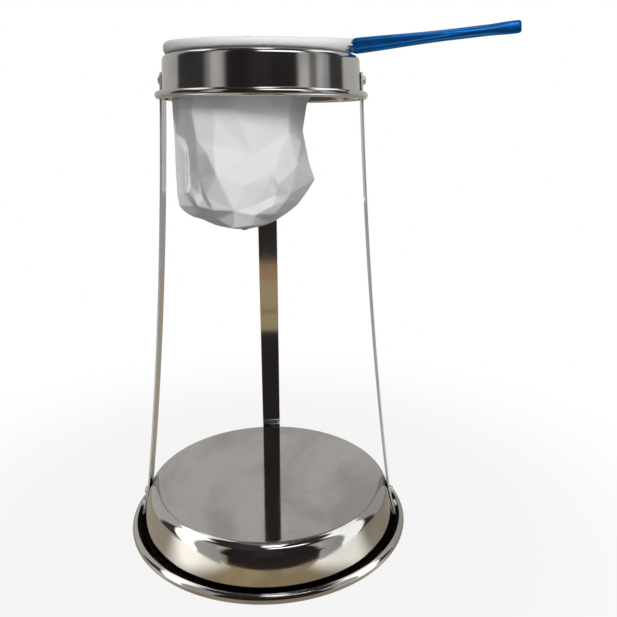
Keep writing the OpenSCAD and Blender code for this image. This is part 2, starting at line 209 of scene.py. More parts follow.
class Socket:
    """A node's output, on which Python's operators add Math nodes."""

    def __init__(self, finish, out):
        self.finish = finish
        self.out = out

    def maths(self, operation, *values):
        return self.finish.add("ShaderNodeMath", {"operation": operation}, values)

    def __add__(self, other):
        return self.maths("ADD", self, other)

    def __sub__(self, other):
        return self.maths("SUBTRACT", self, other)

    def __rsub__(self, other):
        return self.maths("SUBTRACT", other, self)

    def __mul__(self, other):
        return self.maths("MULTIPLY", self, other)

    def __truediv__(self, other):
        return self.maths("DIVIDE", self, other)

    def __pow__(self, other):
        return self.maths("POWER", self, other)

    __radd__ = __add__
    __rmul__ = __mul__

    def absolute(self):
        return self.maths("ABSOLUTE", self)

    def sine(self):
        return self.maths("SINE", self)

    def root(self):
        return self.maths("SQRT", self)

    def between(self, low, high):
        """0 below low and 1 above high, eased between them."""
        ranges = {"interpolation_type": "SMOOTHSTEP"}
        return self.finish.add("ShaderNodeMapRange", ranges, (self, low, high, 0.0, 1.0))


class Finish:
    """A material in the making, on one Principled shader."""

    def __init__(self, name, **shader):
        self.material = bpy.data.materials.new(name)
        self.material.use_nodes = True
        self.tree = self.material.node_tree
        self.shader = self.tree.nodes["Principled BSDF"]
        for socket, value in shader.items():
            self.put(self.shader.inputs[socket.replace("_", " ")], value)

    def put(self, target, value):
        if isinstance(value, Socket):
            self.tree.links.new(value.out, target)
        elif target.type == "RGBA" and len(value) == 3:
            target.default_value = (*value, 1.0)
        else:
            target.default_value = value

    def add(self, kind, settings=None, values=(), output=0):
        """Adds a node. The settings are set first, then the values or links of its sockets."""
        node = self.tree.nodes.new(kind)
        for name, value in (settings or {}).items():
            if name == "stops":
                self.set_stops(node.color_ramp, value)
            else:
                setattr(node, name, value)
        pairs = values.items() if isinstance(values, dict) else enumerate(values)
        for name, value in pairs:
            self.put(node.inputs[name], value)
        return Socket(self, node.outputs[output])

    def set_stops(self, ramp, stops):
        while len(ramp.elements) < len(stops):
            ramp.elements.new(1.0)
        for element, (place, colour) in zip(ramp.elements, stops):
            element.position = place
            element.color = (*colour, 1.0)

    def place(self, scale=(1.0, 1.0, 1.0), source="Object"):
        """Object coordinates or the UV map, stretched by scale."""
        point = self.add("ShaderNodeTexCoord", output=source)
        if tuple(scale) == (1.0, 1.0, 1.0):
            return point
        return self.add("ShaderNodeMapping", None, {"Vector": point, "Scale": scale})

    def parts(self, vector):
        """The x, y and z of a vector."""
        first = self.add("ShaderNodeSeparateXYZ", None, (vector,))
        outputs = first.out.node.outputs
        return [Socket(self, outputs[i]) for i in range(3)]

    def noise(self, vector, scale, detail=2.0, roughness=0.5, distortion=0.0):
        sockets = {"Vector": vector, "Scale": scale, "Detail": detail,
                   "Roughness": roughness, "Distortion": distortion}
        return self.add("ShaderNodeTexNoise", None, sockets)

    def mix(self, mask, low, high):
        """The colour low where mask is 0, and high where it is 1."""
        sockets = {0: mask, 6: low, 7: high}
        return self.add("ShaderNodeMix", {"data_type": "RGBA"}, sockets, output=2)

    def bump(self, height, strength, distance):
        sockets = {"Height": height, "Strength": strength, "Distance": distance}
        return self.add("ShaderNodeBump", None, sockets)

    def feed(self, **links):
        for socket, value in links.items():
            self.put(self.shader.inputs[socket.replace("_", " ")], value)
        return self.material

    def show(self, shader):
        """Puts another shader in the Principled one's place."""
        self.put(self.tree.nodes["Material Output"].inputs["Surface"], shader)
        return self.material


# Finishes

def polished_sheet(name, colour, spun_along, roll=None):
    """Polished stainless sheet: clear, with faint spun lines, clouds, smudges and dust.

    spun_along is "radius" where the lines ring a flat top, and "height" on a band. roll is
    the middle and the radius of an open rolled rim; inside the roll and in its channel the colour is
    darkened to near black with painted shade, and made rough.
    """
    finish = Finish(name, Metallic=1.0)
    point = finish.place()
    x, y, z = finish.parts(point)
    radius = (x * x + y * y).root()
    flat = spun_along == "radius"
    across = radius if flat else z
    wobble = finish.noise(point, 18.0, 1.0)
    line_place = finish.add("ShaderNodeCombineXYZ", None, (across * 900.0, wobble * 2.0, 0.0))
    lines = finish.noise(line_place, 1.0, 3.0, 0.6)
    cloud = finish.noise(finish.place((1.0, 0.6, 1.0)), 14.0, 3.0, 0.5, 0.8).between(0.40, 0.62)
    smudge = finish.noise(point, 60.0, 4.0, 0.6, 0.6).between(0.42, 0.72)
    fine = finish.noise(point, 900.0, 2.0).between(0.55, 0.75)
    tone = finish.mix(cloud * 0.8 + smudge * 0.15 + fine * 0.05, tuple(colour),
                      tuple(c * 0.70 for c in colour))
    rough = (0.035 if flat else 0.085) + cloud * 0.02 + smudge * 0.02 + lines * 0.02 + fine * 0.02
    if roll:
        middle, size = roll
        off = radius - middle
        rise = z - size
        inside = 1.0 - (off * off + rise * rise).root().between(size * 0.84, size * 0.92)
        low = (1.0 - z.between(1.5 * MM, 4.0 * MM)) * (1.0 - off.between(0.0, 0.3 * MM))
        tip = off.between(-2.8 * MM, -2.2 * MM) * (1.0 - off.between(-0.1 * MM, 0.1 * MM))
        painted_channel_shade = inside.maths("MAXIMUM", low.maths("MAXIMUM", low, tip), inside)
        # Painted shade: the hollow of the rolled rim, inside the roll and down in the channel, is
        # darkened to near black
        tone = finish.mix(painted_channel_shade, tone, (0.042, 0.033, 0.028))
        rough = rough + painted_channel_shade * 0.5
    surface = finish.bump(lines, 0.10, 0.00002)
    return finish.feed(Base_Color=tone, Roughness=rough, Normal=surface)


def strip_steel(colour):
    """Rolled strip: lines drawn along its length, dark specks, rubbed patches, pale cut edges.

    The mesh's own "cut" attribute is 1 on the sheared edges.
    """
    finish = Finish("strip steel")
    point = finish.place((1.0, 1.0, 0.012))
    drawn = finish.noise(point, 1600.0, 3.0, 0.6)
    broad = finish.noise(finish.place((1.0, 1.0, 0.25)), 60.0, 3.0)
    speck = finish.noise(finish.place(), 700.0, 2.0).between(0.64, 0.72)
    rubbed = broad.between(0.4, 0.7)
    edge = finish.add("ShaderNodeAttribute", {"attribute_name": "cut"}, output=2)
    tone = finish.mix(speck * 0.6, tuple(colour), tuple(c * 0.4 for c in colour))
    rough = 0.05 + drawn * 0.06 + rubbed * 0.03 + edge * 0.35
    surface = finish.bump(drawn, 0.25, 0.00004)
    return finish.feed(Base_Color=tone, Roughness=rough, Metallic=1.0 - edge * 0.45,
                       Normal=surface)


def zinc_plate(colour):
    """Zinc-plated screws and nuts: a soft shine with a yellowish bloom in places."""
    finish = Finish("zinc plate", Metallic=0.75)
    point = finish.place()
    bloom = finish.noise(point, 420.0, 3.0).between(0.4, 0.7)
    grain = finish.noise(point, 2600.0, 2.0)
    tone = finish.mix(bloom * 0.4, tuple(colour), (0.52, 0.49, 0.42))
    rough = 0.30 + bloom * 0.12 + grain * 0.06
    surface = finish.bump(grain, 0.2, 0.00003)
    return finish.feed(Base_Color=tone, Roughness=rough, Normal=surface)


def cotton_cloth(name, colour):
    """Close cotton cloth, woven along the piece's own UV map, which is in metres."""
    finish = Finish(name, Sheen_Weight=0.15, Sheen_Roughness=0.5)
    finish.put(finish.shader.inputs["Specular IOR Level"], 0.10)
    u, v, _ = finish.parts(finish.place(source="UV"))
    turns = 2 * math.pi / (0.75 * MM)
    slub = finish.noise(finish.place((1.0, 12.0, 1.0), "UV"), 160.0, 2.0)
    warp = (u * turns + slub * 2.0).sine()
    weft = (v * turns + slub * 2.0).sine()
    yarns = warp.absolute() * 0.5 + weft.absolute() * 0.5
    point = finish.place()
    cloud = finish.noise(point, 38.0, 4.0, 0.6).between(0.3, 0.75)
    fuzz = finish.noise(point, 1900.0, 3.0)
    soft = finish.noise(point, 75.0, 4.0, 0.55, 0.5)
    tone = finish.mix(cloud * 0.4 + (1.0 - yarns) * 0.14, tuple(colour),
                      tuple(c * k for c, k in zip(colour, (0.92, 0.93, 0.93))))
    rough = 0.86 + fuzz * 0.1
    folds = finish.bump(soft, 0.35, 0.0012)
    surface = finish.bump(yarns * 0.7 + fuzz * 0.3, 0.30, 0.00012)
    finish.put(surface.out.node.inputs["Normal"], folds)
    return finish.feed(Base_Color=tone, Roughness=rough, Normal=surface)


def anodised_blue(colour):
    """Dyed anodised aluminium: satin, with faint clouds in the dye."""
    finish = Finish("anodised blue", Metallic=0.82)
    cloud = finish.noise(finish.place(), 90.0, 3.0).between(0.35, 0.7)
    tone = finish.mix(cloud * 0.4, tuple(colour), tuple(min(1.0, c * 1.5) for c in colour))
    return finish.feed(Base_Color=tone, Roughness=cloud * 0.05 + 0.30)


# Shaping helpers

def finished(bm, name, material, body, slot, *nodes):
    """Makes the bmesh an object that rides on a body and stands for CAD nodes."""
    for face in bm.faces:
        face.smooth = True
    mesh = bpy.data.meshes.new(name)
    bm.to_mesh(mesh)
    bm.free()
    mesh.materials.append(material)
    piece = bpy.data.objects.new(name, mesh)
    bpy.context.scene.collection.objects.link(piece)
    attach(piece, body)
    if nodes:
        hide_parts(*nodes)
    return piece


def arc(centre, radius, start, stop, step=math.radians(6)):
    """Points of an arc about a centre in the section's plane, angles in radians."""
    count = max(2, math.ceil(abs(stop - start) / step))
    angles = [start + (stop - start) * i / count for i in range(count + 1)]
    return [Vector((centre[0] + radius * math.cos(a), centre[1] + radius * math.sin(a)))
            for a in angles]


def guarded(points, guard):
    """Adds a point close to either end of each long straight run, so that flats shade flat."""
    result = [points[0]]
    for a, b in zip(points, points[1:]):
        run = b - a
        if run.length > 6 * guard:
            result.append(a + run.normalized() * guard)
            result.append(b - run.normalized() * guard)
        result.append(b)
    return result


def pressed_section(inner, top, base, shoulder, foot, lean, toe, roll_mid, roll, turn, sheet):
    """Both skins of a pressed sheet with a shoulder above and a rolled edge below.

    The same outline as the solid's. The outer skin runs down, the inner skin back up.
    """
    shoulder_z = top - shoulder
    shoulder_r = foot - (shoulder_z - base) * math.tan(lean) - shoulder / math.cos(lean)
    toe_z = base + sheet + toe
    toe_r = foot - (toe_z - base) * math.tan(lean) + toe / math.cos(lean)
    down = math.radians(270)
    up = math.radians(90)
    turned = math.radians(180) + lean
    skins = []
    for level, shoulder_now, toe_now, roll_now in (
        (top, shoulder, toe, roll - sheet),
        (top - sheet, shoulder - sheet, toe + sheet, roll),
    ):
        points = [Vector((inner, level))]
        points += arc((shoulder_r, shoulder_z), shoulder_now, up, lean)
        points += arc((toe_r, toe_z), toe_now, turned, down)
        points += arc((roll_mid, base + roll), roll_now, down, down + turn)
        skins.append(guarded(points, 0.4 * MM))
    return skins


def spun(section, segments):
    """Spins a closed section about Z into one shell."""
    bm = bmesh.new()
    ring = [bm.verts.new((p.x, 0.0, p.y)) for p in section]
    edges = [bm.edges.new(pair) for pair in zip(ring, ring[1:])]
    if (section[0] - section[-1]).length > 0 and section[0].x > 0:
        edges.append(bm.edges.new((ring[-1], ring[0])))
    bmesh.ops.spin(bm, geom=ring + edges, cent=(0, 0, 0), axis=(0, 0, 1),
                   angle=math.tau, steps=segments, use_merge=True)
    bmesh.ops.remove_doubles(bm, verts=bm.verts[:], dist=0.002 * MM)
    bmesh.ops.recalc_face_normals(bm, faces=bm.faces[:])
    return bm


def angle_apart(a, b):
    return abs((a - b + math.pi) % math.tau - math.pi)


# Dish and ring

def dish_section(sizes):
    base = reach_of("base_dish")
    roll_mid = base - sizes.rim_roll
    return pressed_section(
        0.0, top_of("base_dish"), bottom_of("base_dish"), sizes.dish_shoulder,
        roll_mid - sizes.rim_channel, sizes.dish_flare, sizes.dish_toe, roll_mid,
        sizes.rim_roll, sizes.rim_turn, sizes.sheet)


def ring_section(sizes):
    bead_mid = reach_of("top_ring") - sizes.bead
    return pressed_section(
        sizes.mouth, top_of("top_ring"), bottom_of("top_ring"), sizes.ring_shoulder,
        bead_mid - sizes.bead_channel, sizes.ring_taper, sizes.ring_toe, bead_mid,
        sizes.bead, sizes.bead_turn, sizes.sheet)


def cut_slots(bm, sizes):
    """Opens a slot for each leg through the toe of the band, and walls it."""
    base = bottom_of("top_ring")
    bead_mid = reach_of("top_ring") - sizes.bead
    foot = bead_mid - sizes.bead_channel
    ceiling = base + sizes.sheet + sizes.ring_toe * (1 + math.sin(sizes.ring_taper))
    for leg in LEGS.values():
        gone = []
        for face in bm.faces:
            middle = face.calc_center_median()
            radius = middle.xy.length
            if angle_apart(math.atan2(middle.y, middle.x), math.radians(leg)) > sizes.slot_angle:
                continue
            in_toe = foot - sizes.sheet * 1.2 < radius < bead_mid and middle.z < ceiling
            if in_toe and middle.z < base + sizes.bead:
                gone.append(face)
        bmesh.ops.delete(bm, geom=gone, context="FACES")
        rims = [edge for edge in bm.edges if edge.is_boundary]
        bmesh.ops.bridge_loops(bm, edges=rims)
    bmesh.ops.recalc_face_normals(bm, faces=bm.faces[:])


class STAND_OT_dish(bpy.types.Operator):
    """Spin the pressed dish from its section"""
    bl_idname = "filter_stand.dish"
    bl_label = "Dish"

    def execute(self, context):
        sizes = context.scene.stand_pressed
        colours = context.scene.stand_colours
        outer, inner = dish_section(sizes)
        bm = spun(outer + inner[::-1], 240)
        roll = (reach_of("base_dish") - sizes.rim_roll, sizes.rim_roll)
        steel = polished_sheet("polished dish", colours.steel, "radius", roll)
        finished(bm, "dish", steel, "stand", "polished_steel", "base_dish")
        return {"FINISHED"}


class STAND_OT_ring(bpy.types.Operator):
    """Spin the pressed ring and open its three slots"""
    bl_idname = "filter_stand.ring"
    bl_label = "Ring"

    def execute(self, context):
        sizes = context.scene.stand_pressed
        colours = context.scene.stand_colours
        outer, inner = ring_section(sizes)
        bm = spun(outer + inner[::-1], 360)
        cut_slots(bm, sizes)
        steel = polished_sheet("polished ring", colours.steel, "height")
        finished(bm, "ring", steel, "stand", "polished_steel", "top_ring")
        return {"FINISHED"}


# Strip legs

class StripLine:
    """The line that a strip follows: foot on the dish wall, bend, and bowed run to the band."""

    def __init__(self, pressed, strips, leg):
        roll_mid = reach_of("base_dish") - pressed.rim_roll
        self.wall_foot = roll_mid - pressed.rim_channel
        self.flare = math.tan(pressed.dish_flare)
        self.band_foot = reach_of("top_ring") - pressed.bead - pressed.bead_channel
        self.taper = math.tan(pressed.ring_taper)
        self.ring_bottom = bottom_of("top_ring")
        self.bend = strips.rear_bend if leg == "rear" else strips.side_bend
        drop = self.ring_bottom - self.bend
        run = self.wall_foot - self.bend * self.flare - self.band_foot - drop * self.taper
        self.bow = run / drop ** 2

    def reach(self, z):
        """Distance from the stand's axis, eased over the bend."""
        ease = 0.25 * MM
        foot = self.wall_foot - z * self.flare
        drop = self.ring_bottom - z
        run = self.band_foot + drop * self.taper + self.bow * max(0.0, drop) ** 2
        near = max(ease - abs(foot - run), 0.0)
        return max(foot, run) + near * near / (4 * ease)

    def place(self, z, off):
        """The point off the strip's inner line, in the plane of the leg."""
        step = 0.05 * MM
        slope = (self.reach(z + step) - self.reach(z - step)) / (2 * step)
        out = Vector((1.0, -slope)).normalized()
        return Vector((self.reach(z), z)) + out * off


def strip_blank(sizes, low, high, rows):
    """A flat strip with rounded corners and softened edges: x across, z up, y its thickness."""
    bm = bmesh.new()
    bmesh.ops.create_grid(bm, x_segments=1, y_segments=1, size=0.5)
    scale = Matrix.Diagonal((sizes.width, high - low, 1.0, 1.0))
    bmesh.ops.transform(bm, matrix=scale, verts=bm.verts[:])
    bmesh.ops.bevel(bm, geom=bm.verts[:], affect="VERTICES", offset=sizes.corner, segments=8,
                    profile=0.5, material=-1)
    tilt = Matrix.Translation((0, 0, (low + high) / 2)) @ Matrix.Rotation(math.pi / 2, 4, "X")
    bmesh.ops.transform(bm, matrix=tilt, verts=bm.verts[:])
    front = bmesh.ops.extrude_face_region(bm, geom=bm.faces[:])["geom"]
    moved = [v for v in front if isinstance(v, bmesh.types.BMVert)]
    bmesh.ops.translate(bm, verts=moved, vec=(0, sizes.thickness, 0))
    bmesh.ops.recalc_face_normals(bm, faces=bm.faces[:])
    rims = [e for e in bm.edges if abs(e.verts[0].co.y - e.verts[1].co.y) < 0.01 * MM]
    bmesh.ops.bevel(bm, geom=rims, affect="EDGES", offset=sizes.edge, segments=3, profile=0.5,
                    material=-1)
    for z in rows:
        bmesh.ops.bisect_plane(bm, geom=bm.verts[:] + bm.edges[:] + bm.faces[:],
                               plane_co=(0, 0, z), plane_no=(0, 0, 1))
    for x in (-0.49, 0.49):
        bmesh.ops.bisect_plane(bm, geom=bm.verts[:] + bm.edges[:] + bm.faces[:],
                               plane_co=(x * (sizes.width - 2 * sizes.edge), 0, 0),
                               plane_no=(1, 0, 0))
    return bm


def strip_rows(line, low, high):
    """Heights at which a strip is cut across: close together at its bend, wider above."""
    steps = 44
    near = [line.bend + i * 0.4 * MM for i in range(-9, 10)]
    run = [low + (high - low) * i / steps for i in range(1, steps)]
    clear = [z for z in run if abs(z - line.bend) > 4 * MM]
    return sorted(near + clear)


def bend_strip(bm, line, leg, gap):
    """Lays the flat strip along its line and turns it to its side of the stand."""
    turn = Matrix.Rotation(math.radians(LEGS[leg]), 4, "Z")
    cut = bm.faces.layers.float.new("cut")
    for face in bm.faces:
        face.normal_update()
        face[cut] = 1.0 if abs(face.normal.y) < 0.9 else 0.0
    for vert in bm.verts:
        across, off, z = vert.co
        point = line.place(z, off + gap)
        vert.co = turn @ Vector((point.x, across, point.y))
    bmesh.ops.recalc_face_normals(bm, faces=bm.faces[:])


class STAND_OT_strips(bpy.types.Operator):
    """Bend the three strip legs"""
    bl_idname = "filter_stand.strips"
    bl_label = "Strip legs"

    def execute(self, context):
        pressed = context.scene.stand_pressed
        strips = context.scene.stand_strips
        steel = strip_steel(context.scene.stand_colours.strip)
        for leg in LEGS:
            node = leg + "_leg"
            line = StripLine(pressed, strips, leg)
            low = bottom_of(node)
            high = top_of(node)
            bm = strip_blank(strips, low, high, strip_rows(line, low, high))
            bend_strip(bm, line, leg, strips.gap)
            finished(bm, leg + "_strip", steel, "stand", "strip_steel", node)
        return {"FINISHED"}


class STAND_OT_fixings(bpy.types.Operator):
    """Plate the screws and nuts, and dye the hoop"""
    bl_idname = "filter_stand.fixings"
    bl_label = "Screws, nuts and hoop"

    def execute(self, context):
        colours = context.scene.stand_colours
        zinc = zinc_plate(colours.zinc)
        for leg in LEGS:
            for kind in SCREWS + NUTS:
                give(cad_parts[f"{leg}_{kind}"], zinc)
        blue = anodised_blue(colours.blue)
        give(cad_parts["filter_hoop"], blue)
        return {"FINISHED"}


def give(node, material):
    """Puts a material in a CAD node's slots."""
    if not node.data.materials:
        node.data.materials.append(material)
    for index in range(len(node.data.materials)):
        node.data.materials[index] = material


# Filter

def hoop_frame(sizes):
    """The hoop's own frame, on top of the ring, with X along the handle."""
    seat = Matrix.Translation((0, 0, top_of("top_ring")))
    return seat @ Matrix.Rotation(-sizes.handle_turn, 4, "Z")


def smooth_step(x, start, stop):
    t = max(0.0, min(1.0, (x - start) / (stop - start)))
    return t * t * (3 - 2 * t)


def sheet_grid(columns, rows):
    """A grid of columns round and rows down, with a UV map, as a bmesh and its layer."""
    bm = bmesh.new()
    uv = bm.loops.layers.uv.new("cloth")
    bmesh.ops.create_grid(bm, x_segments=columns, y_segments=rows, size=0.5)
    for face in bm.faces:
        for loop in face.loops:
            loop[uv].uv = (loop.vert.co.x + 0.5, loop.vert.co.y + 0.5)
    return bm, uv


class STAND_OT_hem(bpy.types.Operator):
    """Fold the cloth hem round the hoop and fray its end"""
    bl_idname = "filter_stand.hem"
    bl_label = "Hem"

    def execute(self, context):
        sizes = context.scene.stand_filter
        colours = context.scene.stand_colours
        bm, uv = sheet_grid(320, 32)
        place = hoop_frame(sizes)
        rear_end = math.radians(9.5)
        front_end = math.tau - math.radians(19)
        around = front_end - rear_end
        for face in bm.faces:
            for loop in face.loops:
                u, v = loop[uv].uv
                loop[uv].uv = (u * around * sizes.hoop, v * math.pi * sizes.hem)
        for vert in bm.verts:
            round_angle = (vert.co.y + 0.5) * math.tau
            turn = rear_end + (vert.co.x + 0.5) * (around + ragged(round_angle))
            vert.co = place @ hem_point(sizes, turn, round_angle)
        bmesh.ops.remove_doubles(bm, verts=bm.verts[:], dist=0.01 * MM)
        bmesh.ops.holes_fill(bm, edges=[e for e in bm.edges if e.is_boundary])
        bmesh.ops.recalc_face_normals(bm, faces=bm.faces[:])
        fray(bm, place, sizes, rear_end, -1)
        fray(bm, place, sizes, front_end, 1)
        cotton = cotton_cloth("hem cotton", colours.cotton)
        finished(bm, "hem", cotton, "filter", "cotton", "filter_hem")
        return {"FINISHED"}


def ragged(round_angle):
    """How much further the hem's front end reaches, round the wire: most at its top."""
    place = Vector((math.cos(round_angle) * 1.6, math.sin(round_angle) * 1.6, 0.4))
    return math.radians(5 * math.sin(round_angle) + 3 * noise.noise(place))


def hem_levels(turn):
    """Lowest and highest level of the hem above the ring, turn round from the handle.

    On the rear, the wire inside climbs towards the handle, and the hem climbs with it.
    """
    away = math.degrees(math.acos(math.cos(turn)))
    wire = 2.3 * (1 + math.cos(turn)) if math.sin(turn) > 0 else 0.0
    near = 3.8 * (1 - smooth_step(away, 0, 62))
    far = 2.8 * smooth_step(away, 100, 180)
    return (0.25 + wire * 0.8) * MM, (5.8 + max(near, wire - 0.5) + far) * MM


def hem_point(sizes, turn, round_angle):
    """A point of the hem, turn round the hoop from the handle and round_angle round its wire."""
    low, high = hem_levels(turn)
    wide = sizes.hem / 2 * (0.98 + 0.06 * math.cos(turn))
    place = Vector((math.cos(turn) * 2.2, math.sin(turn) * 2.2, math.sin(round_angle) * 0.3))
    ripple = noise.noise(place) * 0.06 + noise.noise(place * 4) * 0.03
    pucker = 1 + ripple + 0.012 * math.sin(turn * 52) * max(0.0, -math.sin(round_angle))
    reach = sizes.hoop + math.cos(round_angle) * wide * pucker
    z = (low + high) / 2 + math.sin(round_angle) * (high - low) / 2 * pucker
    return Vector((reach * math.cos(turn), reach * math.sin(turn), max(z, low)))


def fray(bm, place, sizes, end, side):
    """Loose threads that stand out of the hem's cut end towards the handle."""
    random = Random(7)
    low, high = hem_levels(end)
    for _ in range(60):
        share = random.uniform(0.1, 0.95)
        level = low + (high - low) * share
        reach = sizes.hoop + random.uniform(-2.2, 2.4) * MM
        turn = end + side * math.radians(10 * share - 6)
        root = Vector((reach * math.cos(turn), reach * math.sin(turn), level))
        along = Vector((0.9, side * 0.6, random.uniform(-0.6, 0.5))).normalized()
        length = random.uniform(1.0, 3.4) * MM
        bend = Vector((random.uniform(-0.5, 0.5), 0, random.uniform(-0.6, 0.4)))
        lay = place @ Matrix.Translation(root) @ along.to_track_quat("Z", "X").to_matrix().to_4x4()
        lay = lay @ Matrix.Translation((0, 0, length / 2 - 0.4 * MM))
        thread = bmesh.ops.create_cone(bm, cap_ends=True, segments=5, radius1=0.26 * MM,
                                       radius2=0.08 * MM, depth=length, matrix=lay)["verts"]
        for vert in thread[len(thread) // 2:]:
            vert.co += bend * length * 0.4


# The bag's outline as seen from the front: depth below its top edge, and the
# reach to the left and to the right, in millimetres
BAG_OUTLINE = (
    (0, 59.6, 59.6), (12, 60, 55), (20, 60.0, 45), (28, 59.8, 34.5), (34, 59.7, 31),
    (40, 59.6, 30), (52, 59.4, 28), (63, 59.4, 30.1), (74, 59.6, 32.5), (86, 59.6, 36.6),
    (95, 59.6, 30.8), (103, 59.0, 25), (106.5, 57.4, 21), (109.5, 55.0, 17.2), (112, 52, 13.4),
    (114.2, 45.4, 10), (116.6, 40.6, 5.8), (118.9, 35.6, 0), (120.6, 28.1, -7), (121.7, 20.6, -15),
)
# How far the left edge of the outline stands in front of the middle
LEFT_EDGE = 15.5

# Where creases meet: x across, depth below the top edge, and reach towards the
# viewer of that side, in millimetres
FRONT_KNOTS = {
    "hem_left": (-52, 12, 30), "hem_middle_left": (-28, 12, 52.5), "hem_middle": (0, 12, 58.5),
    "hem_right": (30, 12, 49), "hem_far_right": (48, 10, 30),
    "flap_top": (-53.8, 33.6, 30), "flap": (-51.2, 39.8, 34), "fold_start": (-57.2, 30, 20),
    "tuck": (-46.7, 40.4, 37.5), "corner_top": (-42.0, 41.3, 44), "left_kink": (-40.0, 56.6, 44),
    "panel": (-38, 20, 46), "panel_low": (-26, 44, 50), "hollow_left": (-14, 38, 51.5),
    "brow": (6, 22, 53.5), "hollow": (11, 42, 43.5), "hollow_right": (20, 40, 37),
    "right_shoulder": (24, 26, 38),
    "recess_left": (-57.5, 54.2, 16), "recess_middle": (-54.4, 56.5, 16.5),
    "recess_right": (-51.3, 58.8, 17), "recess_low": (-50.6, 62.8, 16),
    "strip_left": (-55.5, 60, 17), "strip_middle": (-55.5, 78, 17), "strip_low": (-55, 94, 16.5),
    "lip": (-51.2, 66.7, 20), "lip_middle": (-51.7, 78.7, 19.5), "lip_low": (-52.2, 90.6, 19),
    "valley": (-50.6, 70.2, 14.5), "valley_middle": (-51.0, 80.4, 13.5), "valley_low": (-51.2, 90.7, 14),
    "bank": (-45.8, 67.5, 30), "bank_middle": (-46.6, 79.0, 25), "bank_low": (-47.3, 90.0, 21.5),
    "shade_top": (-40.6, 67, 41.5), "shade": (-40.2, 83, 33.5), "shade_low": (-39.6, 95.5, 29.5),
    "dent": (-28, 61, 49.5), "dent_low": (-33, 66, 48.5),
    "crease": (-4, 66.5, 46.5), "knot": (19.6, 53.3, 38.5), "side": (27, 60, 25),
    "junction": (-26.5, 78.5, 54.5), "wedge": (-35.2, 93.0, 46),
    "belly": (-9, 86, 50.5), "nick": (8.8, 78, 45.6), "nick_deep": (9.2, 86, 41.6),
    "nick_left": (5.8, 86, 45.2), "nick_right": (12.4, 86, 43.2), "cheek": (25, 74, 33),
    "star": (-44.8, 96.2, 33), "star_left": (-50.8, 93.1, 21), "star_right": (-43.4, 93.6, 29),
    "star_low": (-46.0, 100.2, 27),
    "ledge_left": (-42.5, 101, 34), "ledge": (-31, 102.0, 46.5), "low_junction": (-16, 102.3, 51),
    "right_valley": (-5.1, 100.3, 45.0), "right_valley_middle": (10, 93.3, 39.5),
    "right_valley_end": (20, 93, 31),
    "bulge": (-3, 105.5, 45.5), "bulge_middle": (9, 99.5, 41), "bulge_end": (17, 98, 31),
    "notch": (-48.6, 103.2, 14), "notch_right": (-43, 105.8, 20), "low_left": (-31, 110.0, 32),
    "low_point": (-17.8, 114.6, 44), "low_middle": (-5, 113.6, 40), "low_right": (9, 106.4, 35),
}
FRONT_CREASES = (
    ("fold_start", "flap"), ("flap_top", "flap"), ("flap", "tuck"), ("tuck", "corner_top"),
    ("corner_top", "left_kink"), ("fold_start", "recess_left"), ("recess_left", "recess_middle"),
    ("recess_middle", "recess_right"), ("recess_right", "recess_low"), ("tuck", "recess_middle"),
    ("corner_top", "recess_right"), ("left_kink", "recess_low"), ("left_kink", "bank"),
    ("recess_low", "bank"), ("recess_low", "lip"), ("recess_low", "valley"),
    ("lip", "lip_middle"), ("lip_middle", "lip_low"), ("lip_low", "star_left"),
    ("valley", "valley_middle"), ("valley_middle", "valley_low"), ("valley_low", "star_left"),
    ("bank", "bank_middle"), ("bank_middle", "bank_low"), ("bank_low", "star_right"),
    ("strip_left", "strip_middle"), ("strip_middle", "strip_low"),
    ("recess_middle", "strip_left"), ("strip_low", "notch"),
    ("shade_top", "shade"), ("shade", "shade_low"), ("bank", "shade_top"),
    ("left_kink", "dent"), ("shade_top", "dent_low"), ("dent", "dent_low"),
    ("dent_low", "junction"), ("junction", "wedge"), ("wedge", "shade_low"),
    ("corner_top", "panel_low"), ("panel_low", "hollow_left"), ("panel_low", "dent"),
    ("panel", "corner_top"), ("hollow_left", "brow"), ("hollow_left", "hollow"),
    ("hollow", "hollow_right"), ("brow", "right_shoulder"), ("right_shoulder", "hollow_right"),
    ("hollow_right", "knot"), ("junction", "crease"), ("crease", "knot"), ("hollow", "knot"),
    ("knot", "side"), ("knot", "cheek"), ("nick", "nick_left"), ("nick", "nick_right"),
    ("nick", "nick_deep"), ("nick_deep", "right_valley_middle"),
    ("nick_left", "right_valley_middle"), ("nick_right", "right_valley_middle"),
    ("junction", "low_junction"), ("star", "star_left"), ("star", "star_right"),
    ("star", "star_low"), ("shade_low", "ledge_left"), ("star_low", "ledge_left"),
    ("wedge", "ledge"), ("ledge_left", "ledge"), ("star_low", "notch"),
    ("ledge", "low_junction"), ("low_junction", "right_valley"), ("low_junction", "low_point"),
    ("right_valley", "right_valley_middle"), ("right_valley_middle", "right_valley_end"),
    ("right_valley", "bulge"), ("bulge", "bulge_middle"), ("bulge_middle", "bulge_end"),
    ("cheek", "right_valley_end"), ("notch", "notch_right"), ("notch_right", "ledge_left"),
    ("notch_right", "low_left"), ("low_left", "low_point"), ("low_point", "low_middle"),
)
REAR_KNOTS = {
    "hem_left": (-50, 12, 33), "hem_middle": (-16, 12, 56), "hem_right": (28, 12, 50),
    "hem_far_right": (50, 10, 26),
    "brow": (-34, 34, 48), "dip": (-6, 40, 44), "right_brow": (16, 34, 40),
    "left_ridge": (-42, 62, 34), "middle": (-20, 66, 51), "right_dip": (8, 62, 38),
    "left_low": (-44, 90, 26), "belly": (-14, 88, 47), "right_low": (14, 84, 36),
    "foot_left": (-40, 106, 24), "foot": (-14, 108, 30), "foot_right": (4, 102, 26),
}
REAR_CREASES = (
    ("brow", "dip"), ("dip", "right_brow"), ("brow", "left_ridge"), ("left_ridge", "middle"),
    ("dip", "middle"), ("middle", "right_dip"), ("middle", "belly"), ("left_low", "belly"),
    ("belly", "right_low"), ("belly", "foot"), ("foot_left", "foot"), ("foot", "foot_right"),
)


